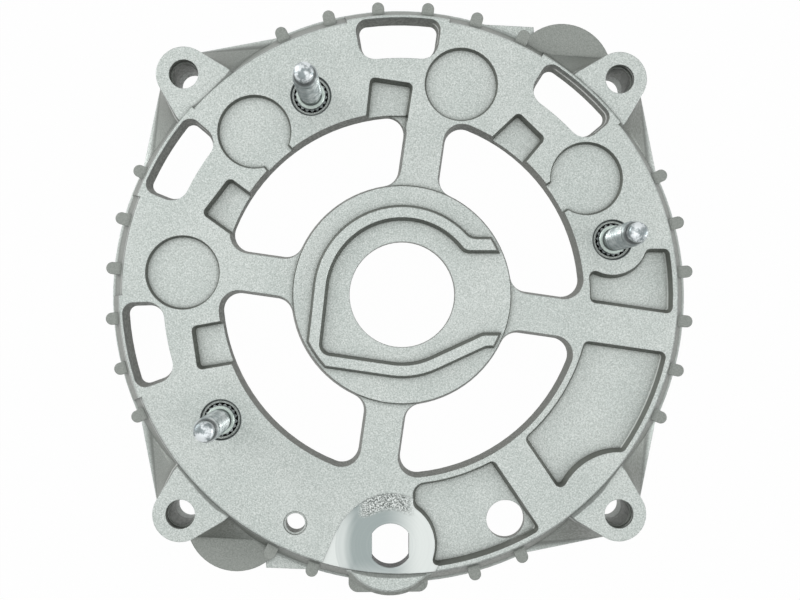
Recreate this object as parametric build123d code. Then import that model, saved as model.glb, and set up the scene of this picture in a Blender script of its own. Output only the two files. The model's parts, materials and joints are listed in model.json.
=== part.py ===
from build123d import *
import math
import os

# Die-cast rear end housing of an alternator with three press-in studs.
# Millimetres.  z = 0 is the joint face that meets the stator, +Z points out of
# the rear face, the shaft axis is the Z axis.

# levels
FACE_Z = 15.5
HUB_Z = 16.5
HUB_RIM_RISE = 1.8
PLATE = 4.2
FLANGE_Z = 3.5
EAR_TOP_Z = 14.6
BULGE_Z = 5.5
SEAT_Z = 3.0
RIB_Z = 9.0

# round features
RIM_R = 69.7
RIM_AT_SLOT_R = 70.4
CONE_FOOT_R = 74.2
FLANGE_R = 75.1
FLANGE_FOOT_R = 75.6
FLANGE_RISE = 0.8
REGISTER_R = 73.0
INNER_FOOT_R = 71.8
INNER_WALL_R = 69.0
WINDOW_OUT_R = 45.8
HUB_R = 27.4
HUB_FOOT_R = 24.5
HUB_FOOT_Z = SEAT_Z + 0.4
BORE_R = 13.2
BEARING_R = 17.5
BEARING_LIP = 3.1
RIM_CHAMFER = 0.4

# spokes and windows
SPOKE_ANGLE = 81.8
SPOKE_W = 9.3
WINDOW_CORNER_R = 4.9
WINDOW_DRAFT = 9.0
RIB_W = 6.0
RIB_END_R = WINDOW_OUT_R + 4.0

# air slots, diode recesses and studs repeat after this angle
REPEAT = 100.0
SLOT_ANGLES = (48.9, 90.8)
SLOT_HALF = 9.15
SLOT_RIM = 3.0
SLOT_IN_R = 59.4
SLOT_OUT_R = 69.65
SLOT_CORNERS = (4.4, 2.8)
SLOT_DRAFT = 11.0
DIODE_R = 54.9
DIODE_ANGLES = (32.2, 74.25)
DIODE_RECESS_R = 9.25
DIODE_DEPTH = 1.2
DIODE_MOUTH = ((54.0, 27.5), (44.0, 26.6), (44.0, 37.9), (50.0, 37.0))
STUD_PCR = 54.8
STUD_ANGLE = 14.6
STUD_COUNT = 3

# studs
KNURL_R = 4.2
STUD_HOLE_R = KNURL_R + 0.05
COUNTERBORE_R = 4.95
COUNTERBORE_DEPTH = 0.6
STUD_BOSS_R = 8.0
STUD_BOSS_Z = 7.0
STUD_HEAD_R = 5.6
STUD_HEAD = 1.8
KNURL_TEETH = 18
KNURL_DEPTH = 0.55
SHOULDER_R = 3.55
SHOULDER = 0.9
SHOULDER_TAPER = 0.7
THREAD_MAJOR_R = 2.975
THREAD_END = 19.3
DOG_R = 2.3
DOG_END = 23.6
DOG_CHAMFER = 1.0

# ears and through-bolt holes
EAR_ANGLE = 44.7
EAR_PCR = 77.7
EAR_R = 6.9
EAR_MOUTH_R = 3.65
EAR_MOUTH_DEPTH = 2.3
EAR_HOLE_R = 3.25
LOBE_R = 8.0
EAR_MID_Z = 7.8
EAR_MID_R = 7.25
EAR_NECK = ((64.0, 9.6), (71.5, 8.7))
EAR_MID_NECK = ((62.5, 16.0), (71.9, 14.2))
EAR_WEB = ((60.0, 27.0), (70.8, 24.8))

# cooling fins on the outer wall
FIN_TIP_R = 74.9
FIN_W = 3.1
FIN_LENGTH = 8.0
FIN_TOP_Z = 11.5
FIN_FIRST = 4.7
FIN_PITCH = 10.0
FIN_PLACES = (0, 1, 2, 6, 7, 8, 9, 10, 11, 15, 16, 17, 18, 19, 20, 28, 29, 33, 34, 35)
FIN_EXTRA_ANGLES = (242.9, 251.9)

# flange bulges, one by the upper right ear and one opposite
BULGE_ANGLE = 54.0
BULGE_PCR = 72.15
BULGE_R = 13.05
BULGE_WEB = ((21.9, 71.7), (35.2, 71.1), (36.0, 58.0), (18.0, 66.0))

# terminal boss with its double-D hole
TERM_X = -2.95
TERM_Y = -62.6
TERM_HOLE_R = 5.5
TERM_HOLE_FLAT = 4.6
TERM_BOSS_R = 13.1
TERM_BOSS_CHAMFER = 1.7
TERM_BOSS_Z = 14.6
TERM_FACE_R = 13.0
TERM_FACE_DEPTH = 0.3
TERM_FLARE = ((-9.0, -53.0), (-12.0, -53.1), (-15.0, -56.3), (-17.1, -60.2), (-20.0, -67.0), (-12.0, -72.0))
BLOCK_LEFT = -13.6
BLOCK_RIGHT = 6.85
BLOCK_BOTTOM = -76.6
BLOCK_HEIGHT = 20.0
BLOCK_Z = 7.0
BLOCK_CORNER_R = 2.4

# shallow pockets in the rear face
POCKET_DEPTH = 2.2
POCKET_DRAFT = 20.0
POCKET_IN_R = 47.2
POCKET_OUT_R = 68.3
POCKET_CORNER_R = 1.6
SPOKE_LAND = 0.2
UPPER_POCKET_Y = 11.6
UPPER_POCKET_X = 40.0
LAND_ANGLE = -56.0
LAND_W = 9.3
LAND_POINT = (31.6, -45.9)
TERM_CLEAR_R = 11.0
LOWER_LEFT_X = 2.6
LOWER_TOP_Y = -30.0
LOWER_KNEES = (3.2, 2.4)
LOWER_CORNER_R = 1.4
EAR_CLEAR_R = 15.7
STUD_CLEAR_R = 8.8
SMALL_POCKETS = (
    ((21.2, 38.4), (29.3, 46.0), (36.2, 39.3), (30.4, 32.4)),
    ((-9.3, 42.5), (-8.0, 54.6), (2.9, 53.0), (1.2, 42.5)),
    ((-41.0, 13.7), (-50.0, 20.2), (-43.1, 29.3), (-36.6, 24.5)),
    ((-43.6, -6.3), (-52.5, -7.9), (-50.9, -18.8), (-41.0, -17.1)),
)
SMALL_CORNER_R = 1.4
SMALL_DRAFT = 16.0
STEP_POCKET = ((-3.2, 45.3), (1.5, 45.3), (0.3, 37.0), (-3.2, 37.0))
STEP_DEPTH = 2.9
BOLT_HOLE = (26.1, -56.6)
BOLT_HOLE_R = 4.8
SCREW_HOLE = (-26.6, -56.8)
SCREW_HOLE_R = 2.4
SCREW_SINK_R = 2.95
SCREW_SINK = 0.3

# raised sealing rim on the hub: a band round the bore, straight on two sides
BAND_IN_R = 18.4
BAND_OUT_R = 22.35
BAND_DROP = 1.5
BAND_LEFT_ANGLE = 173.7
BAND_LOW_ANGLE = -98.4
BAND_RISE_ANGLE = -65.3
BAND_TOP_Y = (10.25, 14.4)
BAND_LOW_Y = (-9.45, -13.35)
BAND_CLIP_R = 26.5
BAND_REACH = 32.0
BAND_BEND_R = 3.0
BAND_KNEES = (4.0, 2.2)
BAND_DRAFT = 22.0


def polar(radius, angle):
    a = math.radians(angle)
    return (radius * math.cos(a), radius * math.sin(a))


def spin(shape, angle):
    return shape.rotate(Axis.Z, angle)


def at_z(shape, z):
    return Pos(0, 0, z) * shape


def block(face, z0, z1):
    return extrude(at_z(face, z0), amount=z1 - z0, dir=(0, 0, 1))


def sink(face, top_z, depth, draft):
    return extrude(at_z(face, top_z), amount=depth, dir=(0, 0, -1), taper=draft)


def drafted_opening(face, draft, depth):
    # the walls lean in through the plate and stand straight below it
    low = offset(face, -PLATE * math.tan(math.radians(draft)), kind=Kind.INTERSECTION)
    upper = loft([at_z(low.faces()[0], FACE_Z - PLATE), at_z(face, FACE_Z)], ruled=True)
    return upper + block(low, FACE_Z - depth, FACE_Z - PLATE)


def disc(radius, x=0.0, y=0.0):
    return Pos(x, y) * Circle(radius)


def annulus(inner, outer):
    return disc(outer) - disc(inner)


def outline(points):
    return make_face(Polyline(*points, close=True))


def sector(a0, a1, reach):
    mid = (a0 + a1) / 2
    far = reach / math.cos(math.radians((a1 - a0) / 4))
    return outline([(0, 0), polar(reach, a0), polar(far, (a0 + mid) / 2), polar(reach, mid),
                    polar(far, (mid + a1) / 2), polar(reach, a1)])


def side_of(point, angle):
    # half plane to the left of a line through the point
    return Pos(*point) * Rot(0, 0, angle) * (Pos(0, 100) * Rectangle(400, 200))


def rounded(face, radius):
    face = face.faces().sort_by(SortBy.AREA)[-1]
    return face.fillet_2d(radius, face.vertices())


def tangent_point(point, centre, radius, side):
    dx = point[0] - centre[0]
    dy = point[1] - centre[1]
    a = math.atan2(dy, dx) - side * math.acos(radius / math.hypot(dx, dy))
    return (centre[0] + radius * math.cos(a), centre[1] + radius * math.sin(a))


def tongue(root, shoulder, centre_x, radius):
    # outline symmetric about X: two root points, two shoulder points, a round nose
    up = tangent_point(shoulder, (centre_x, 0), radius, 1)
    lines = Line(root, shoulder)
    lines += Line(shoulder, up)
    lines += ThreePointArc(up, (centre_x + radius, 0), (up[0], -up[1]))
    lines += Line((up[0], -up[1]), (shoulder[0], -shoulder[1]))
    lines += Line((shoulder[0], -shoulder[1]), (root[0], -root[1]))
    lines += Line((root[0], -root[1]), root)
    return make_face(lines)


def make_windows():
    ring = annulus(HUB_R, WINDOW_OUT_R)
    for k in range(4):
        bar = Rot(0, 0, SPOKE_ANGLE + 90 * k) * (Pos(50, 0) * Rectangle(100, SPOKE_W))
        ring -= bar
    return [rounded(f, WINDOW_CORNER_R) for f in ring.faces()]


def make_slots():
    slots = []
    for turn in (0, REPEAT):
        for a in SLOT_ANGLES:
            mid = a + turn
            f = annulus(SLOT_IN_R, SLOT_OUT_R) & sector(mid - SLOT_HALF, mid + SLOT_HALF, 90)
            f = f.faces()[0]
            near = [v for v in f.vertices() if math.hypot(v.X, v.Y) < SLOT_IN_R + 1]
            far = [v for v in f.vertices() if math.hypot(v.X, v.Y) > SLOT_OUT_R - 1]
            f = f.fillet_2d(SLOT_CORNERS[0], near)
            far = [v for v in f.vertices() if min(math.dist((v.X, v.Y), (w.X, w.Y)) for w in far) < 0.01]
            slots.append(f.fillet_2d(SLOT_CORNERS[1], far))
    return slots


def make_pockets():
    field = spin(annulus(POCKET_IN_R, POCKET_OUT_R), 180)
    spoke = SPOKE_ANGLE + 270 - 360
    above = side_of(polar(SPOKE_W / 2 + SPOKE_LAND, spoke + 90), spoke)
    below = side_of(polar(SPOKE_W / 2 + SPOKE_LAND, spoke - 90), spoke + 180)
    stud = polar(STUD_PCR, STUD_ANGLE)
    ear = polar(EAR_PCR, EAR_ANGLE - 90)
    a = math.radians(LAND_ANGLE)
    normal = (-math.sin(a), math.cos(a))
    land_up = (LAND_POINT[0] + normal[0] * LAND_W / 2, LAND_POINT[1] + normal[1] * LAND_W / 2)
    land_low = (LAND_POINT[0] - normal[0] * LAND_W / 2, LAND_POINT[1] - normal[1] * LAND_W / 2)
    upper = field & above & side_of((0, UPPER_POCKET_Y), 180) & side_of((UPPER_POCKET_X, 0), -90)
    upper = upper.faces().sort_by(Axis.X)[-1]
    upper = rounded(upper - disc(STUD_CLEAR_R, *stud), POCKET_CORNER_R)
    right = field & below & side_of(land_up, LAND_ANGLE) & side_of((0, 0), -90)
    right = rounded(right - disc(EAR_CLEAR_R, *ear), POCKET_CORNER_R)
    lower = field & side_of(land_low, LAND_ANGLE + 180) & side_of((LOWER_LEFT_X, -50), -90)
    lower = lower & side_of((0, LOWER_TOP_Y), 180)
    boss = Pos(TERM_X, TERM_Y) * spin(Circle(TERM_CLEAR_R), 180)
    lower = (lower - boss).faces().sort_by(SortBy.AREA)[-1]
    top = [v for v in lower.vertices() if v.X < LOWER_LEFT_X + 0.2 and v.Y > -50]
    lower = lower.fillet_2d(LOWER_KNEES[0], top)
    low = [v for v in lower.vertices() if v.X < LOWER_LEFT_X + 0.2 and -56 < v.Y < -52]
    lower = lower.fillet_2d(LOWER_KNEES[1], low)
    sharp = [v for v in lower.vertices() if v.X > LAND_POINT[0] - 10 or v.Y < -60]
    lower = lower.fillet_2d(LOWER_CORNER_R, sharp)
    return [upper, right, lower]


def band_contour(radius, top_y, low_y, corner):
    # closed outline: round over the top, straight down the left, along the
    # bottom, then rising to the right; it runs past the hub on the right
    drop = radius - BAND_DROP
    left = polar(radius, BAND_LEFT_ANGLE)
    foot = polar(drop, BAND_LOW_ANGLE)
    rise = polar(drop, BAND_RISE_ANGLE)
    start = polar(radius, math.degrees(math.asin(top_y / radius)))
    ld = polar(1, BAND_LEFT_ANGLE + 90)
    fd = polar(1, BAND_LOW_ANGLE - 90)
    det = ld[0] * -fd[1] + ld[1] * fd[0]
    s = ((foot[0] - left[0]) * -fd[1] + (foot[1] - left[1]) * fd[0]) / det
    knee = (left[0] + ld[0] * s, left[1] + ld[1] * s)
    rd = polar(1, BAND_RISE_ANGLE + 90)
    u = (low_y - rise[1]) / rd[1]
    bend = (rise[0] + rd[0] * u, low_y)
    lines = Line((BAND_REACH, top_y), start)
    lines += CenterArc((0, 0), radius, math.degrees(math.asin(top_y / radius)),
                       BAND_LEFT_ANGLE - math.degrees(math.asin(top_y / radius)))
    lines += Line(left, knee)
    lines += Line(knee, foot)
    lines += CenterArc((0, 0), drop, BAND_LOW_ANGLE, BAND_RISE_ANGLE - BAND_LOW_ANGLE)
    lines += Line(rise, bend)
    lines += Line(bend, (BAND_REACH, low_y))
    lines += Line((BAND_REACH, low_y), (BAND_REACH, top_y))
    face = make_face(lines)
    sharp = [v for v in face.vertices() if math.dist((v.X, v.Y), start) < 0.01]
    sharp += [v for v in face.vertices() if math.dist((v.X, v.Y), bend) < 0.01]
    face = fillet(sharp, BAND_BEND_R)
    low = [v for v in face.vertices() if math.dist((v.X, v.Y), knee) < 0.01]
    return fillet(low, corner)


def make_band():
    outer = band_contour(BAND_OUT_R, BAND_TOP_Y[1], BAND_LOW_Y[1], BAND_KNEES[0])
    inner = band_contour(BAND_IN_R, BAND_TOP_Y[0], BAND_LOW_Y[0], BAND_KNEES[1])
    band = (outer - inner) & disc(BAND_CLIP_R)
    band = band.faces().sort_by(SortBy.AREA)[-1]
    return extrude(at_z(band, HUB_Z), amount=HUB_RIM_RISE, dir=(0, 0, 1), taper=BAND_DRAFT)


def make_ears():
    top = tongue(*EAR_NECK, EAR_PCR, EAR_R)
    middle = tongue(*EAR_MID_NECK, EAR_PCR, EAR_MID_R)
    web = tongue(*EAR_WEB, EAR_PCR, LOBE_R)
    column = loft([at_z(web, FLANGE_Z), at_z(middle, EAR_MID_Z), at_z(top, EAR_TOP_Z)])
    lug = column + block(web, 0, FLANGE_Z)
    return [spin(lug, EAR_ANGLE + 90 * k) for k in range(4)]


def make_fins():
    nose = FIN_TIP_R - FIN_W / 2
    shape = Pos(nose, 0) * Circle(FIN_W / 2) + Pos(nose - FIN_LENGTH / 2, 0) * Rectangle(FIN_LENGTH, FIN_W)
    fin = block(shape, FLANGE_Z - 1.0, FIN_TOP_Z)
    angles = [FIN_FIRST + FIN_PITCH * k for k in FIN_PLACES]
    angles += list(FIN_EXTRA_ANGLES)
    return [spin(fin, a) for a in angles]


def make_shell():
    # outer wall, flange and plate as one turned section
    section = outline([(0, 0), (FLANGE_FOOT_R, 0), (FLANGE_R, FLANGE_Z),
                       (CONE_FOOT_R, FLANGE_Z + FLANGE_RISE), (RIM_R, FACE_Z - RIM_CHAMFER),
                       (RIM_R - RIM_CHAMFER, FACE_Z), (0, FACE_Z)])
    body = revolve(Plane.XZ * section, Axis.Z)
    grow = RIM_AT_SLOT_R - RIM_R
    wide = outline([(40, FLANGE_Z), (CONE_FOOT_R + grow, FLANGE_Z), (RIM_AT_SLOT_R, FACE_Z - RIM_CHAMFER),
                    (RIM_AT_SLOT_R - RIM_CHAMFER, FACE_Z), (40, FACE_Z)])
    for turn in (0, REPEAT):
        for a in SLOT_ANGLES:
            span = 2 * SLOT_HALF + SLOT_RIM
            body += spin(revolve(Plane.XZ * wide, Axis.Z, revolution_arc=span), a + turn - span / 2)
    return body


def make_cavity():
    under = FACE_Z - PLATE
    section = outline([(0, -1), (REGISTER_R, -1), (REGISTER_R, SEAT_Z), (INNER_FOOT_R, SEAT_Z),
                       (INNER_WALL_R, under), (0, under)])
    return revolve(Plane.XZ * section, Axis.Z)


def make_underside():
    # hub, ribs under the spokes and stud bosses below the plate
    under = FACE_Z - PLATE
    hub = revolve(Plane.XZ * outline([(0, HUB_FOOT_Z), (HUB_FOOT_R, HUB_FOOT_Z), (HUB_R - 0.2, RIB_Z),
                                      (HUB_R, FACE_Z), (HUB_R - 0.35, HUB_Z), (0, HUB_Z)]), Axis.Z)
    parts = [hub]
    for k in range(4):
        rib = Pos((HUB_FOOT_R + RIB_END_R) / 2, 0) * Rectangle(RIB_END_R - HUB_FOOT_R, RIB_W)
        parts.append(block(Rot(0, 0, SPOKE_ANGLE + 90 * k) * rib, RIB_Z, under))
    for k in range(STUD_COUNT):
        x, y = polar(STUD_PCR, STUD_ANGLE + REPEAT * k)
        parts.append(block(disc(STUD_BOSS_R, x, y), STUD_BOSS_Z, under))
    return parts


def make_housing():
    body = make_shell() - make_cavity()
    for shape in make_underside():
        body += shape
    for shape in make_ears():
        body += shape - make_cavity()
    for shape in make_fins():
        body += shape - make_cavity()
    for turn in (0, 180):
        x, y = polar(BULGE_PCR, BULGE_ANGLE + turn)
        lobe = block(disc(BULGE_R, x, y), 0, BULGE_Z)
        lobe += spin(block(outline(BULGE_WEB), 0, FLANGE_Z), turn)
        body += lobe - make_cavity()

    # terminal boss and block
    boss = block(disc(TERM_BOSS_R, TERM_X, TERM_Y), 0, TERM_BOSS_Z)
    boss = chamfer(boss.edges().sort_by(Axis.Z)[-1], TERM_BOSS_CHAMFER)
    base = RectangleRounded(BLOCK_RIGHT - BLOCK_LEFT, BLOCK_HEIGHT, BLOCK_CORNER_R)
    base = Pos((BLOCK_LEFT + BLOCK_RIGHT) / 2, BLOCK_BOTTOM + BLOCK_HEIGHT / 2) * base
    boss += block(base, 0, BLOCK_Z)
    body += boss - make_cavity()

    # windows, slots and holes through the plate
    for f in make_windows():
        body -= drafted_opening(f, WINDOW_DRAFT, PLATE + 1)
    for f in make_slots():
        body -= drafted_opening(f, SLOT_DRAFT, PLATE + 1)
    body -= block(disc(BORE_R), -1, HUB_Z + 1)
    body -= block(disc(BEARING_R), -1, HUB_Z - BEARING_LIP)
    hole = disc(TERM_HOLE_R) & Rectangle(2 * TERM_HOLE_FLAT, 20)
    body -= Pos(TERM_X, TERM_Y, 0) * block(hole, 5, FACE_Z + 1)
    body -= block(disc(BOLT_HOLE_R, *BOLT_HOLE), 5, FACE_Z + 1)
    body -= block(disc(SCREW_HOLE_R, *SCREW_HOLE), 5, FACE_Z + 1)
    body -= block(disc(SCREW_SINK_R, *SCREW_HOLE), FACE_Z - SCREW_SINK, FACE_Z + 1)

    # shallow work in the rear face
    face = disc(TERM_FACE_R, TERM_X, TERM_Y) + outline(TERM_FLARE)
    body -= block(face, FACE_Z - TERM_FACE_DEPTH, FACE_Z + 1)
    for f in make_pockets():
        body -= sink(f, FACE_Z, POCKET_DEPTH, POCKET_DRAFT)
    for points in SMALL_POCKETS:
        body -= sink(rounded(outline(points), SMALL_CORNER_R), FACE_Z, POCKET_DEPTH, SMALL_DRAFT)
    body -= sink(outline(STEP_POCKET), FACE_Z, STEP_DEPTH, 0)
    for turn in (0, REPEAT):
        for a in DIODE_ANGLES:
            x, y = polar(DIODE_R, a + turn)
            body -= sink(disc(DIODE_RECESS_R, x, y), FACE_Z, DIODE_DEPTH, POCKET_DRAFT)
        mouth = outline([polar(r, a + turn) for r, a in DIODE_MOUTH])
        body -= sink(mouth, FACE_Z, DIODE_DEPTH, POCKET_DRAFT)

    # stud seats and through-bolt holes
    for k in range(STUD_COUNT):
        x, y = polar(STUD_PCR, STUD_ANGLE + REPEAT * k)
        body -= block(disc(STUD_HOLE_R, x, y), STUD_BOSS_Z - 1, FACE_Z + 1)
        body -= block(disc(COUNTERBORE_R, x, y), FACE_Z - COUNTERBORE_DEPTH, FACE_Z + 1)
    for k in range(4):
        x, y = polar(EAR_PCR, EAR_ANGLE + 90 * k)
        body -= block(disc(EAR_HOLE_R, x, y), -1, FACE_Z)
        body -= block(disc(EAR_MOUTH_R, x, y), EAR_TOP_Z - EAR_MOUTH_DEPTH, FACE_Z)
    return body + make_band()


def make_stud():
    # head under the boss, knurled barrel in the hole, shoulder, thread, dog point
    head = block(disc(STUD_HEAD_R), STUD_BOSS_Z - STUD_HEAD, STUD_BOSS_Z)
    knurl_top = FACE_Z - COUNTERBORE_DEPTH
    barrel = []
    for k in range(2 * KNURL_TEETH):
        r = KNURL_R - KNURL_DEPTH * (k % 2)
        barrel.append(polar(r, 180 * k / KNURL_TEETH))
    stud = head + block(outline(barrel), STUD_BOSS_Z, knurl_top)
    z = knurl_top
    turned = outline([(0, z - 1), (SHOULDER_R, z - 1), (SHOULDER_R, FACE_Z + SHOULDER),
                      (THREAD_MAJOR_R, FACE_Z + SHOULDER + SHOULDER_TAPER),
                      (THREAD_MAJOR_R, FACE_Z + THREAD_END),
                      (DOG_R, FACE_Z + THREAD_END + SHOULDER_TAPER),
                      (DOG_R, FACE_Z + DOG_END - DOG_CHAMFER),
                      (DOG_R - DOG_CHAMFER, FACE_Z + DOG_END), (0, FACE_Z + DOG_END)])
    return stud + revolve(Plane.XZ * turned, Axis.Z)


os.makedirs("parts", exist_ok=True)
export_step(make_housing(), "parts/housing.step")
stud = make_stud()
for k in range(STUD_COUNT):
    x, y = polar(STUD_PCR, STUD_ANGLE + REPEAT * k)
    export_step(Pos(x, y, 0) * spin(stud, STUD_ANGLE + REPEAT * k), "parts/stud_%d.step" % (k + 1))
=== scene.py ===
import bpy
import json
import math
from mathutils import Matrix, Vector


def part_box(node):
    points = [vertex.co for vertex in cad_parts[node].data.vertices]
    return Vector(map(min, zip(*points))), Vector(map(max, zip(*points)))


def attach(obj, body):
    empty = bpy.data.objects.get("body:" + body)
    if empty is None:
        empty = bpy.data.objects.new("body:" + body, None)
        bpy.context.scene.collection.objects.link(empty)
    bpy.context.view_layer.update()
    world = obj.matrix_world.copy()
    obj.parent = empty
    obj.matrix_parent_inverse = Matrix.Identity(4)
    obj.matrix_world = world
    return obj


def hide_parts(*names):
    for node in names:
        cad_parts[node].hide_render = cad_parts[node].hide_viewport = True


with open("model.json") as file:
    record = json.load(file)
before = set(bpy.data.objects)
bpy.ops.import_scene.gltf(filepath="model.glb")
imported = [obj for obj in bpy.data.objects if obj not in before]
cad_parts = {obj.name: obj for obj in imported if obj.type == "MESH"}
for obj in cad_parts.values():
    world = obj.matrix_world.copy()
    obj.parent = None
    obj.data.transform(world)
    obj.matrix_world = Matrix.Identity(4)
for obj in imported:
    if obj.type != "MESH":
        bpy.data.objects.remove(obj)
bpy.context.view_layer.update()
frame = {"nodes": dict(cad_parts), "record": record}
scene = bpy.context.scene

MM = 0.001
MOUNTS = {m["name"]: m for m in frame["record"]["mounts"]}
STUDS = sorted(name for name in frame["nodes"] if name.startswith("stud_"))

# the terminal hole and the machined face around it
TERMINAL = Vector(MOUNTS["terminal_hole"]["pos_m"])
TERMINAL_WALL_R = 6.3 * MM
MACHINED_DEPTH = 0.3 * MM
MACHINED_R = 13.0 * MM
MACHINED_REACH = 20.0 * MM
FACE_Z = TERMINAL.z + MACHINED_DEPTH

# a steep wall inside PLATE_R belongs to an opening, a recess or the hub; the fins and
# the flanks of the ears lie outside RIM_R, between the flange and the top of the ears
PLATE_R = 69.3 * MM
RIM_R = 70.6 * MM
WALL_BLEND = 0.4 * MM
FLANGE_Z = 3.5 * MM
EAR_Z = 14.6 * MM
SEAM_R = 70.2 * MM
POCKET_Z = FACE_Z - 2.2 * MM

# one stud, heights over the joint face
THREAD = MOUNTS["stud_thread_1"]
THREAD_R = THREAD["dims"]["r_mm"] * MM
THREAD_LENGTH = THREAD["dims"]["length_mm"] * MM
THREAD_LOW = THREAD["pos_m"][2] - THREAD_LENGTH / 2
THREAD_HIGH = THREAD_LOW + THREAD_LENGTH
PITCH = 1.0 * MM
THREAD_DEPTH = 0.4 * MM
FLANK_SLOPE = 1.35
FLANK_START = 0.15
RUN_OUT = 0.9 * MM
RELIEF = 3.0 * MM
HEAD_EDGE = 0.25 * MM
HEAD_TOP = 7.0 * MM
KNURL_R = 4.2 * MM
KNURL_DEPTH = 0.55 * MM
KNURL_TEETH = 18
KNURL_TOP = 14.9 * MM
KNURL_END = 0.5 * MM
KNURL_BEVEL = 0.1 * MM
SHOULDER_R = 3.55 * MM
SHOULDER_TOP = 16.4 * MM
SHOULDER_EDGE = 0.2 * MM
DOG_R = 2.3 * MM
DOG_TAPER = 0.7 * MM
DOG_ROUND = 1.0 * MM
DOG_STEPS = 12
DOG_LOW = THREAD_HIGH + DOG_TAPER
COUNTERBORE_R = 4.95 * MM
NECK_R = 2.55 * MM
NECK_EDGE = 0.3 * MM
STUD_SIDES = 6 * KNURL_TEETH
ROWS_PER_PITCH = 10
SHARP_ANGLE = 38.0

# the camera looks down from about 230 mm over the rear face
CAMERA_AT = Vector((-6.54, -4.10, 229.9)) * MM + Vector((0, 0, FACE_Z))
CAMERA_ALONG = Vector((0.0261, 0.0120, -0.9996))
CAMERA_F = 920.0
PHOTO_W = 800.0

# (name, place, size, watts)
LAMPS = (
    ("overhead", (-0.05, 0.0, 1.0), (1.0, 0.8), 1.45),
    ("key", (-0.95, 0.50, 0.48), (0.6, 0.5), 4.8),
    ("right", (1.0, -0.12, 0.40), (0.4, 0.4), 2.8),
)
SKY_AT_HORIZON = 0.06
SKY_OVERHEAD = 0.62
FLOOR_HALF = 3.0
FLOOR_DROP = 0.2 * MM
FLOOR_WHITE = 0.985

# flat faces cut the noise at a slant, so that the grain is alike at each level
GRAIN_TILT = (0.61, 0.43, 0.27)

# how far painted shade reaches out of corners, how soft edges and grain look, and how finishes shine
RAYS_PER_POINT = 3
CORNER_REACH = 1.1 * MM
DEEP_REACH = 7.0 * MM
EDGE_ROUND = 0.35 * MM
BUMP_STRENGTH = 0.8
BUMP_DISTANCE = 0.12 * MM
CAST_METALLIC = 0.55
ZINC_METALLIC = 0.9
MACHINED_ROUGHNESS = 0.38
PAPER_ROUGHNESS = 0.9

# colours of the casting, with painted shade, a painted highlight and a painted reflection among them;
# a pair runs from dark to light
CAST_TONES = ((0.520, 0.570, 0.545), (0.565, 0.610, 0.585))
GRAIN_TONES = ((0.30, 0.33, 0.31), (0.84, 0.87, 0.85))
SPECK_TONES = ((0.33, 0.36, 0.34), (0.80, 0.82, 0.80))
MACHINED_SHEEN_TONES = ((0.315, 0.365, 0.36), (0.70, 0.74, 0.72))
TORN_TONES = ((0.15, 0.17, 0.16), (0.78, 0.82, 0.80))
INNER_WALL_SHADE = (0.12, 0.12, 0.105)
STEEP_WALL_SHADE = (0.22, 0.23, 0.21)
SIDE_WALL_SHADE = (0.17, 0.18, 0.16)
LEE_WALL_SHADE = (0.09, 0.10, 0.09)
CORNER_SHADE = (0.10, 0.11, 0.10)
SEAM_SHADE = (0.12, 0.13, 0.12)
DEEP_SHADE = (0.13, 0.14, 0.12)
LIT_FOOT = (0.75, 0.77, 0.75)
COUNTERBORE_SHADE_LINE = (0.04, 0.05, 0.05)
TERMINAL_WALL_SHADE = (0.03, 0.03, 0.03)

# colours of the plated studs, with painted shade among them, and of the floor
ZINC_TONES = ((0.34, 0.39, 0.39), (0.62, 0.67, 0.66))
POINT_TONES = ((0.20, 0.23, 0.24), (0.74, 0.78, 0.80))
ZINC_BARREL_SHADE = (0.14, 0.15, 0.15)
ZINC_SHADE = (0.08, 0.09, 0.09)
ZINC_LEE_SHADE = (0.12, 0.14, 0.14)
ZINC_LEDGE = (0.70, 0.80, 0.74)
ZINC_NECK_SHADE = (0.07, 0.08, 0.08)
PAPER_TONES = ((0.56, 0.56, 0.56), (0.60, 0.60, 0.60))


def stud_centre(node):
    low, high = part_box(node)
    return (low + high) / 2


# materials

class Graph:
    def __init__(self, tree):
        self.tree = tree

    def add(self, kind, **values):
        # a value is for the node's own property of that name, or else for its input
        node = self.tree.nodes.new(kind)
        for key, value in values.items():
            if hasattr(node, key):
                setattr(node, key, value)
            else:
                node.inputs[key.replace("_", " ")].default_value = value
        return node

    def link(self, a, b):
        self.tree.links.new(a, b)

    def feed(self, socket, value):
        if isinstance(value, (int, float)):
            socket.default_value = value
        elif isinstance(value, tuple):
            socket.default_value = value + (1,)
        else:
            self.link(value, socket)

    def axes(self, vector):
        split = self.add("ShaderNodeSeparateXYZ")
        self.link(vector, split.inputs[0])
        return split.outputs

    def math(self, op, a, b=0.0, clamp=False):
        n = self.add("ShaderNodeMath", operation=op, use_clamp=clamp)
        self.feed(n.inputs[0], a)
        self.feed(n.inputs[1], b)
        return n.outputs[0]

    def product(self, *values):
        result = values[0]
        for v in values[1:]:
            result = self.math("MULTIPLY", result, v)
        return result

    def length(self, x, y):
        return self.math("SQRT", self.math("ADD", self.product(x, x), self.product(y, y)))

    def seen(self):
        # 1 for what the camera sees, straight or by way of metal or glass
        path = self.add("ShaderNodeLightPath")
        direct = self.math("MAXIMUM", path.outputs["Is Camera Ray"], path.outputs["Is Glossy Ray"])
        return self.math("MAXIMUM", direct, path.outputs["Is Transmission Ray"])


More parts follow.
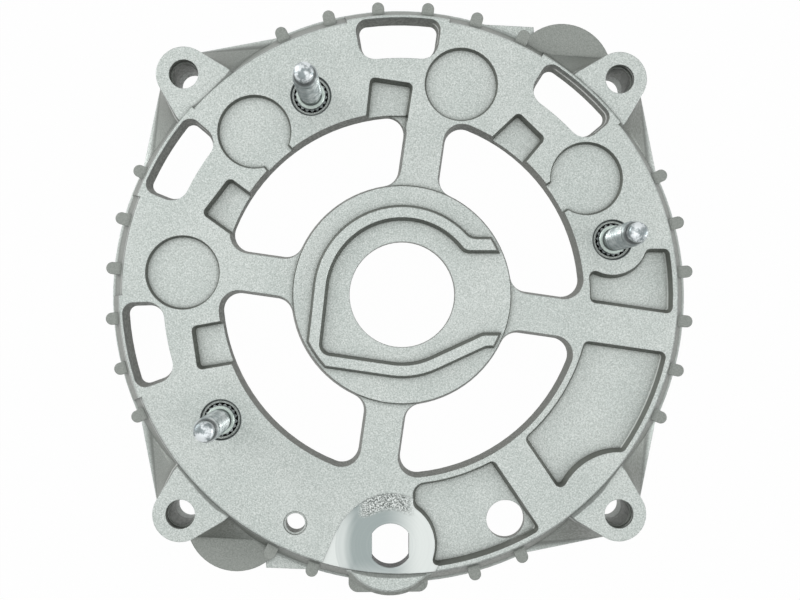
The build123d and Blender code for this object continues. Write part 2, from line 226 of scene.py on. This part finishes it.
class Surface(Graph):
    def __init__(self, name):
        self.mat = bpy.data.materials.new(name)
        self.mat.use_nodes = True
        super().__init__(self.mat.node_tree)
        self.bsdf = self.tree.nodes["Principled BSDF"]
        self.out = self.tree.nodes["Material Output"]
        geometry = self.add("ShaderNodeNewGeometry")
        self.position = geometry.outputs["Position"]
        self.normal = geometry.outputs["True Normal"]
        self.tilted = self.add("ShaderNodeVectorRotate", rotation_type="EULER_XYZ")
        self.link(self.position, self.tilted.inputs["Vector"])
        self.tilted.inputs["Rotation"].default_value = GRAIN_TILT

    def noise(self, scale, detail, rough):
        n = self.add("ShaderNodeTexNoise", Scale=scale, Detail=detail, Roughness=rough)
        self.link(self.tilted.outputs[0], n.inputs["Vector"])
        return n.outputs["Fac"]

    def rings(self, radius, scale):
        n = self.add("ShaderNodeTexNoise", noise_dimensions="1D", Scale=scale, Detail=2.0)
        self.link(radius, n.inputs["W"])
        return n.outputs["Fac"]

    def ramp(self, value, low, high, a=0.0, b=1.0):
        n = self.add("ShaderNodeMapRange", clamp=True, interpolation_type="SMOOTHSTEP")
        ends = {"Value": value, "From Min": low, "From Max": high, "To Min": a, "To Max": b}
        for name, v in ends.items():
            self.feed(n.inputs[name], v)
        return n.outputs["Result"]

    def band(self, value, a, b, c, d):
        # rises from a to b and falls again from c to d
        return self.product(self.ramp(value, a, b), self.ramp(value, d, c))

    def mix(self, fac, a, b):
        # inputs 6 and 7 and output 2 are the node's sockets for colours
        n = self.add("ShaderNodeMix", data_type="RGBA")
        self.feed(n.inputs[0], fac)
        self.feed(n.inputs[6], a)
        self.feed(n.inputs[7], b)
        return n.outputs[2]

    def stain(self, tone, colour, *masks):
        return self.mix(self.product(*masks), tone, colour)

    def occlusion(self, reach):
        n = self.add("ShaderNodeAmbientOcclusion", samples=RAYS_PER_POINT, only_local=True,
                     Distance=reach)
        return n.outputs["AO"]

    def from_axis(self, point):
        # east and north of an upright axis through the point, and away from it
        shift = self.add("ShaderNodeVectorMath", operation="SUBTRACT")
        self.link(self.position, shift.inputs[0])
        shift.inputs[1].default_value = point
        x, y = self.axes(shift.outputs[0])[:2]
        return x, y, self.length(x, y)

    def bump(self, height, normal=None):
        n = self.add("ShaderNodeBump", Strength=BUMP_STRENGTH, Distance=BUMP_DISTANCE)
        self.link(height, n.inputs["Height"])
        if normal is not None:
            self.link(normal, n.inputs["Normal"])
        self.link(n.outputs[0], self.bsdf.inputs["Normal"])


def skin(n, grain, speck, patch):
    # fine bright and dark grain over a slow change of tone
    tone = n.mix(n.ramp(patch, 0.35, 0.65), *CAST_TONES)
    tone = n.stain(tone, GRAIN_TONES[1], n.ramp(grain, 0.50, 0.66, 0.0, 0.5))
    tone = n.stain(tone, GRAIN_TONES[0], n.ramp(grain, 0.50, 0.34, 0.0, 0.5))
    tone = n.stain(tone, SPECK_TONES[1], n.ramp(speck, 0.55, 0.70, 0.0, 0.2))
    return n.stain(tone, SPECK_TONES[0], n.ramp(speck, 0.45, 0.30, 0.0, 0.2))


def machined_mask(n, up, z, radius):
    # the flat machined area round the terminal hole
    flat = n.ramp(up, 0.8, 0.95)
    level = n.band(z, TERMINAL.z - 0.12 * MM, TERMINAL.z - 0.06 * MM,
                   TERMINAL.z + 0.06 * MM, TERMINAL.z + 0.12 * MM)
    near = n.ramp(radius, MACHINED_REACH, MACHINED_REACH - 0.5 * MM)
    return n.product(flat, level, near)


def machined_painted_sheen(n, x, y, radius):
    # milled metal with a painted reflection: grey to the left of the hole and painted brighter to the
    # right, low down and at its edge, as painted sheen
    right = n.ramp(x, -2.5 * MM, 8.0 * MM)
    low = n.ramp(y, -3.0 * MM, -10.0 * MM, 0.0, 0.6)
    left = n.product(n.ramp(x, -8.0 * MM, -12.0 * MM, 0.0, 0.75),
                     n.ramp(radius, 8.0 * MM, 12.5 * MM))
    wedge = n.ramp(radius, MACHINED_R + 0.3 * MM, MACHINED_R + 1.0 * MM, 0.0, 1.3)
    light = n.math("MAXIMUM", n.math("MAXIMUM", right, low), n.math("MAXIMUM", left, wedge))
    ring = n.ramp(n.rings(radius, scale=1300.0), 0.3, 0.7, -0.04, 0.04)
    return n.mix(n.math("ADD", light, ring, clamp=True), *MACHINED_SHEEN_TONES)


def torn_mask(n, x, y, radius):
    # the rough torn patch above the hole
    ring = n.band(radius, 8.2 * MM, 10.0 * MM, 12.6 * MM, 13.4 * MM)
    across = n.band(x, -8.5 * MM, -6.0 * MM, 3.0 * MM, 6.5 * MM)
    return n.product(ring, across, n.ramp(y, 6.5 * MM, 8.0 * MM))


def cast_aluminium():
    n = Surface("cast_aluminium")
    grain = n.noise(scale=2900.0, detail=2.0, rough=0.6)
    speck = n.noise(scale=1700.0, detail=2.0, rough=0.5)
    patch = n.noise(scale=60.0, detail=4.0, rough=0.55)
    tone = skin(n, grain, speck, patch)

    # steep walls are painted darker than the faces as painted shade, most of all inside the edge of
    # the plate
    east, north, up = n.axes(n.normal)
    slope = n.math("ABSOLUTE", up)
    steep = n.ramp(slope, 0.75, 0.30)
    x, y, z = n.axes(n.position)
    reach = n.length(x, y)
    tone = n.stain(tone, INNER_WALL_SHADE, steep, n.ramp(reach, PLATE_R + WALL_BLEND, PLATE_R), 0.88)
    tone = n.stain(tone, STEEP_WALL_SHADE, steep, 0.50)

    # painted shade: the outer wall is painted darkest just under its edge, and walls that face right
    # or down are painted darker
    wave = n.math("ADD", z, n.ramp(patch, 0.3, 0.7, -0.8 * MM, 0.8 * MM))
    under = n.ramp(wave, FACE_Z - 4.5 * MM, FACE_Z - 2.0 * MM)
    outer = n.ramp(reach, PLATE_R, PLATE_R + WALL_BLEND)
    tone = n.stain(tone, CORNER_SHADE, steep, under, outer, 0.6)
    lee = n.ramp(n.math("SUBTRACT", n.product(east, 0.6), n.product(north, 0.8)), 0.0, 0.55)
    mottle = n.ramp(speck, 0.35, 0.65, 0.25, 0.7)
    tone = n.stain(tone, LEE_WALL_SHADE, n.ramp(slope, 0.92, 0.60), lee, mottle)

    # fins and ears painted darker as painted shade, and painted shade at their roots on the flange
    side = n.product(n.ramp(reach, RIM_R, RIM_R + WALL_BLEND),
                     n.band(z, FLANGE_Z, FLANGE_Z + 1.5 * MM, EAR_Z - 0.8 * MM, EAR_Z - 0.3 * MM))
    tone = n.stain(tone, SIDE_WALL_SHADE, side, 0.68)
    tone = n.stain(tone, SEAM_SHADE, side, n.ramp(z, FLANGE_Z + 1.9 * MM, FLANGE_Z + 1.3 * MM), 0.6)

    # an uneven painted shade line where the ears run under the edge of the plate
    wander = n.math("ADD", reach, n.ramp(patch, 0.3, 0.7, -0.5 * MM, 0.5 * MM))
    seam_shade = n.product(n.ramp(wander, SEAM_R + 0.5 * MM, SEAM_R + 0.15 * MM),
                     n.band(z, EAR_Z - 0.3 * MM, EAR_Z - 0.2 * MM, EAR_Z + 0.4 * MM, EAR_Z + 0.5 * MM))
    tone = n.stain(tone, SEAM_SHADE, seam_shade, n.ramp(reach, PLATE_R - WALL_BLEND, PLATE_R), 0.7)

    # painted shade in the corners, and deeper painted shade in the recesses inside the rim
    tone = n.stain(tone, CORNER_SHADE, n.ramp(n.occlusion(CORNER_REACH), 0.95, 0.45, 0.0, 0.80))
    deep = n.ramp(n.occlusion(DEEP_REACH), 0.80, 0.30, 0.0, 0.75)
    tone = n.stain(tone, DEEP_SHADE, deep, n.ramp(reach, RIM_R + WALL_BLEND, RIM_R))

    # a painted highlight at the foot of a pocket's outer wall, where it faces left
    foot = n.product(steep, n.ramp(east, -0.3, -0.7),
                     n.ramp(reach, PLATE_R - 6.0 * MM, PLATE_R - 5.0 * MM),
                     n.band(z, POCKET_Z - 0.1 * MM, POCKET_Z,
                            POCKET_Z + 0.35 * MM, POCKET_Z + 0.6 * MM))
    tone = n.stain(tone, LIT_FOOT, foot, 0.85)

    # a dark line of painted shade where each stud's counterbore meets the face
    top = n.ramp(z, FACE_Z - 1.0 * MM, FACE_Z - 0.8 * MM)
    for node in STUDS:
        away = n.from_axis(stud_centre(node))[2]
        off = n.math("ABSOLUTE", n.math("SUBTRACT", away, COUNTERBORE_R))
        tone = n.stain(tone, COUNTERBORE_SHADE_LINE, n.ramp(off, 0.30 * MM, 0.12 * MM), top, 0.9)

    # the terminal hole, its wall painted dark as painted shade, with machined metal that carries a
    # painted reflection and a torn patch round it
    tx, ty, radius = n.from_axis(TERMINAL)
    inside = n.ramp(radius, TERMINAL_WALL_R + 0.1 * MM, TERMINAL_WALL_R - 0.1 * MM)
    tone = n.stain(tone, TERMINAL_WALL_SHADE, steep, inside, 0.8)
    torn = n.product(torn_mask(n, tx, ty, radius), n.ramp(z, FACE_Z - 0.5 * MM, FACE_Z - 0.4 * MM))
    smooth = n.math("SUBTRACT", machined_mask(n, up, z, radius), torn, clamp=True)
    tone = n.mix(smooth, tone, machined_painted_sheen(n, tx, ty, radius))
    tone = n.mix(torn, tone, n.mix(n.ramp(grain, 0.40, 0.62), *TORN_TONES))
    n.link(tone, n.bsdf.inputs["Base Color"])

    n.bsdf.inputs["Metallic"].default_value = CAST_METALLIC
    cast_rough = n.ramp(speck, 0.3, 0.7, 0.42, 0.58)
    drop = n.product(smooth, n.math("SUBTRACT", cast_rough, MACHINED_ROUGHNESS))
    n.link(n.math("SUBTRACT", cast_rough, drop), n.bsdf.inputs["Roughness"])

    height = n.math("ADD", n.product(grain, 0.7), n.product(speck, 0.7))
    height = n.product(height, n.math("SUBTRACT", 1.0, smooth))
    height = n.math("ADD", height, n.product(speck, torn, 1.2))
    edge = n.add("ShaderNodeBevel", samples=RAYS_PER_POINT, Radius=EDGE_ROUND)
    n.bump(height, edge.outputs[0])
    return n.mat


def zinc_steel():
    n = Surface("zinc_steel")
    cloud = n.noise(scale=500.0, detail=3.0, rough=0.6)
    scratch = n.noise(scale=1400.0, detail=3.0, rough=0.6)
    tone = n.mix(n.ramp(cloud, 0.35, 0.65), *ZINC_TONES)
    z = n.axes(n.position)[2]
    # painted shade: the knurl and head below the shoulder are painted darker
    barrel = n.ramp(z, KNURL_TOP + 0.15 * MM, KNURL_TOP + 0.05 * MM)
    tone = n.stain(tone, ZINC_BARREL_SHADE, barrel, 0.75)
    # painted shade in the thread roots and other hollows
    tone = n.stain(tone, ZINC_SHADE, n.ramp(n.occlusion(0.7 * MM), 0.75, 0.35, 0.0, 0.8))

    # painted shade: darker where the shank faces left or down
    east, north, up = n.axes(n.normal)
    lee = n.math("ADD", n.product(east, -0.6), n.product(north, -0.8))
    tone = n.stain(tone, ZINC_LEE_SHADE, n.ramp(lee, 0.2, 0.8, 0.0, 0.65))

    # the point is blotchy, over a dark ring of painted shade and a bright chamfer
    point = n.ramp(z, DOG_LOW, DOG_LOW + 0.3 * MM)
    blotch = n.mix(n.ramp(cloud, 0.42, 0.58), *POINT_TONES)
    tone = n.mix(n.product(point, 0.85), tone, blotch)
    ring = n.band(z, THREAD_HIGH + 0.25 * MM, THREAD_HIGH + 0.45 * MM,
                  DOG_LOW + 1.0 * MM, DOG_LOW + 2.2 * MM)
    tone = n.stain(tone, ZINC_SHADE, ring, 0.8)

    # pale plated shoulder, with a dark line of painted shade round the foot of the thread
    ledge = n.product(n.ramp(up, 0.5, 0.8),
                      n.band(z, KNURL_TOP + 0.2 * MM, KNURL_TOP + 0.3 * MM,
                             SHOULDER_TOP + 0.1 * MM, SHOULDER_TOP + 0.2 * MM))
    tone = n.stain(tone, ZINC_LEDGE, ledge, 0.9)
    for node in STUDS:
        away = n.from_axis(stud_centre(node))[2]
        neck = n.ramp(away, NECK_R + 0.40 * MM, NECK_R + 0.20 * MM)
        tone = n.stain(tone, ZINC_NECK_SHADE, neck, ledge, 0.9)
    n.link(tone, n.bsdf.inputs["Base Color"])

    chamfer = n.product(n.ramp(z, THREAD_HIGH - 0.4 * MM, THREAD_HIGH - 0.2 * MM),
                        n.math("SUBTRACT", 1.0, point))
    dull = n.math("MAXIMUM", chamfer, ledge)
    n.link(n.math("SUBTRACT", ZINC_METALLIC, n.product(dull, 0.6)), n.bsdf.inputs["Metallic"])
    n.link(n.ramp(scratch, 0.3, 0.7, 0.28, 0.42), n.bsdf.inputs["Roughness"])
    n.bump(n.math("ADD", n.product(scratch, 0.25), cloud))
    return n.mat


def paper_floor():
    n = Surface("paper_floor")
    fibre = n.noise(scale=900.0, detail=3.0, rough=0.6)
    n.link(n.mix(fibre, *PAPER_TONES), n.bsdf.inputs["Base Color"])
    n.bsdf.inputs["Roughness"].default_value = PAPER_ROUGHNESS
    white = n.add("ShaderNodeEmission", Color=(1, 1, 1, 1), Strength=1.0)
    mix = n.add("ShaderNodeMixShader")
    n.link(n.product(n.seen(), FLOOR_WHITE), mix.inputs[0])
    n.link(n.bsdf.outputs[0], mix.inputs[1])
    n.link(white.outputs[0], mix.inputs[2])
    n.link(mix.outputs[0], n.out.inputs["Surface"])
    return n.mat


CAST = cast_aluminium()
ZINC = zinc_steel()
for name, obj in frame["nodes"].items():
    obj.data.materials.clear()
    obj.data.materials.append(CAST if name == "housing" else ZINC)


# studs

def thread_radius(z, turn):
    # a helix that starts from a plain relief and fades out under the point
    phase = ((z - THREAD_LOW) / PITCH - turn) % 1.0
    flank = abs(2.0 * phase - 1.0)
    cut = min(1.0, max(0.0, FLANK_SLOPE * flank - FLANK_START))
    plain = min(1.0, max(0.0, (THREAD_LOW + RELIEF - z) / RUN_OUT))
    fade = min(1.0, max(0.0, (THREAD_HIGH - z) / RUN_OUT))
    return THREAD_R - THREAD_DEPTH * (cut + (1.0 - cut) * plain) * fade


def knurl_radius(turn):
    # a tooth is a peak, halfway between two valleys
    valley = 1.0 - abs(2.0 * ((turn * KNURL_TEETH) % 1.0) - 1.0)
    return KNURL_R - KNURL_DEPTH * valley


def stud_rows(low, top, head_r):
    # (height, radius as a function of the share of a full turn), from the head up
    def ring(z, r):
        return (z, lambda turn: r)

    rows = [ring(low, head_r - HEAD_EDGE), ring(low + HEAD_EDGE, head_r)]
    rows += [ring(HEAD_TOP - HEAD_EDGE, head_r), ring(HEAD_TOP, head_r - HEAD_EDGE)]
    rows += [(HEAD_TOP, knurl_radius), (KNURL_TOP - KNURL_END, knurl_radius)]
    rows += [(KNURL_TOP, lambda turn: knurl_radius(turn) - KNURL_BEVEL)]
    rows += [ring(KNURL_TOP, SHOULDER_R), ring(SHOULDER_TOP - SHOULDER_EDGE, SHOULDER_R)]
    rows += [ring(SHOULDER_TOP, SHOULDER_R - SHOULDER_EDGE), ring(SHOULDER_TOP, NECK_R)]
    rows += [ring(THREAD_LOW - NECK_EDGE, NECK_R)]
    count = round(THREAD_LENGTH / PITCH * ROWS_PER_PITCH)
    for k in range(count + 1):
        z = THREAD_LOW + THREAD_LENGTH * k / count
        rows.append((z, lambda turn, z=z: thread_radius(z, turn)))
    rows += [ring(DOG_LOW, DOG_R), ring(top - DOG_ROUND, DOG_R)]
    for k in range(1, DOG_STEPS + 1):
        a = math.radians(90 * k / (DOG_STEPS + 1))
        rows.append(ring(top - DOG_ROUND * (1 - math.sin(a)), DOG_R * math.cos(a)))
    return rows


def make_stud(node):
    low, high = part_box(node)
    centre = stud_centre(node)
    start = math.atan2(centre.y, centre.x)
    rows = stud_rows(low.z, high.z, (high.x - low.x) / 2)
    verts = []
    for z, radius in rows:
        for k in range(STUD_SIDES):
            turn = k / STUD_SIDES
            a = start + math.tau * turn
            r = radius(turn)
            verts.append((centre.x + r * math.cos(a), centre.y + r * math.sin(a), z))
    faces = [tuple(reversed(range(STUD_SIDES)))]
    for row in range(len(rows) - 1):
        base = row * STUD_SIDES
        for k in range(STUD_SIDES):
            far = (k + 1) % STUD_SIDES
            faces.append((base + k, base + far, base + STUD_SIDES + far, base + STUD_SIDES + k))
    faces.append(tuple((len(rows) - 1) * STUD_SIDES + k for k in range(STUD_SIDES)))
    mesh = bpy.data.meshes.new(node + "_turned")
    mesh.from_pydata(verts, [], faces)
    mesh.shade_smooth()
    mesh.set_sharp_from_angle(angle=math.radians(SHARP_ANGLE))
    mesh.materials.append(ZINC)
    piece = bpy.data.objects.new(node + "_turned", mesh)
    scene.collection.objects.link(piece)
    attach(piece, "root")
    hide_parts(node)


for node in STUDS:
    make_stud(node)


# stage

def make_floor():
    mesh = bpy.data.meshes.new("floor")
    corners = [(-1, -1), (1, -1), (1, 1), (-1, 1)]
    mesh.from_pydata([(FLOOR_HALF * x, FLOOR_HALF * y, 0) for x, y in corners], [], [(0, 1, 2, 3)])
    mesh.materials.append(paper_floor())
    floor = bpy.data.objects.new("floor", mesh)
    floor.location.z = -FLOOR_DROP
    scene.collection.objects.link(floor)


def area_light(name, at, size, power):
    data = bpy.data.lights.new(name, "AREA")
    data.shape = "RECTANGLE"
    data.size, data.size_y = size
    data.energy = power
    lamp = bpy.data.objects.new(name, data)
    lamp.location = at
    lamp.rotation_euler = (Vector((0, 0, FACE_Z)) - Vector(at)).to_track_quat("-Z", "Y").to_euler()
    scene.collection.objects.link(lamp)


def studio_sky():
    # lights the object like a tent that is open at its sides, and is white where it is seen
    world = bpy.data.worlds.new("studio")
    scene.world = world
    world.use_nodes = True
    n = Graph(world.node_tree)
    sky = n.tree.nodes["Background"]
    sky.inputs[0].default_value = (1, 1, 1, 1)
    climb = n.add("ShaderNodeMapRange", To_Min=SKY_AT_HORIZON, To_Max=SKY_OVERHEAD)
    direction = n.add("ShaderNodeTexCoord").outputs["Generated"]
    n.link(n.axes(direction)[2], climb.inputs["Value"])
    level = n.add("ShaderNodeMix", data_type="FLOAT", B=1.0)
    n.link(n.seen(), level.inputs["Factor"])
    n.link(climb.outputs[0], level.inputs["A"])
    n.link(level.outputs["Result"], sky.inputs[1])


make_floor()
for lamp in LAMPS:
    area_light(*lamp)
studio_sky()


# camera

camera = bpy.data.cameras.new("camera")
camera.sensor_width = 36.0
camera.lens = CAMERA_F * camera.sensor_width / PHOTO_W
camera.clip_start = 0.01
eye = bpy.data.objects.new("camera", camera)
forward = CAMERA_ALONG.normalized()
right = (Vector((1, 0, 0)) - forward * forward.x).normalized()
up = right.cross(forward)
pose = Matrix((right, up, -forward)).transposed().to_4x4()
pose.translation = CAMERA_AT
eye.matrix_world = pose
scene.collection.objects.link(eye)
scene.camera = eye

scene.view_settings.view_transform = "Standard"
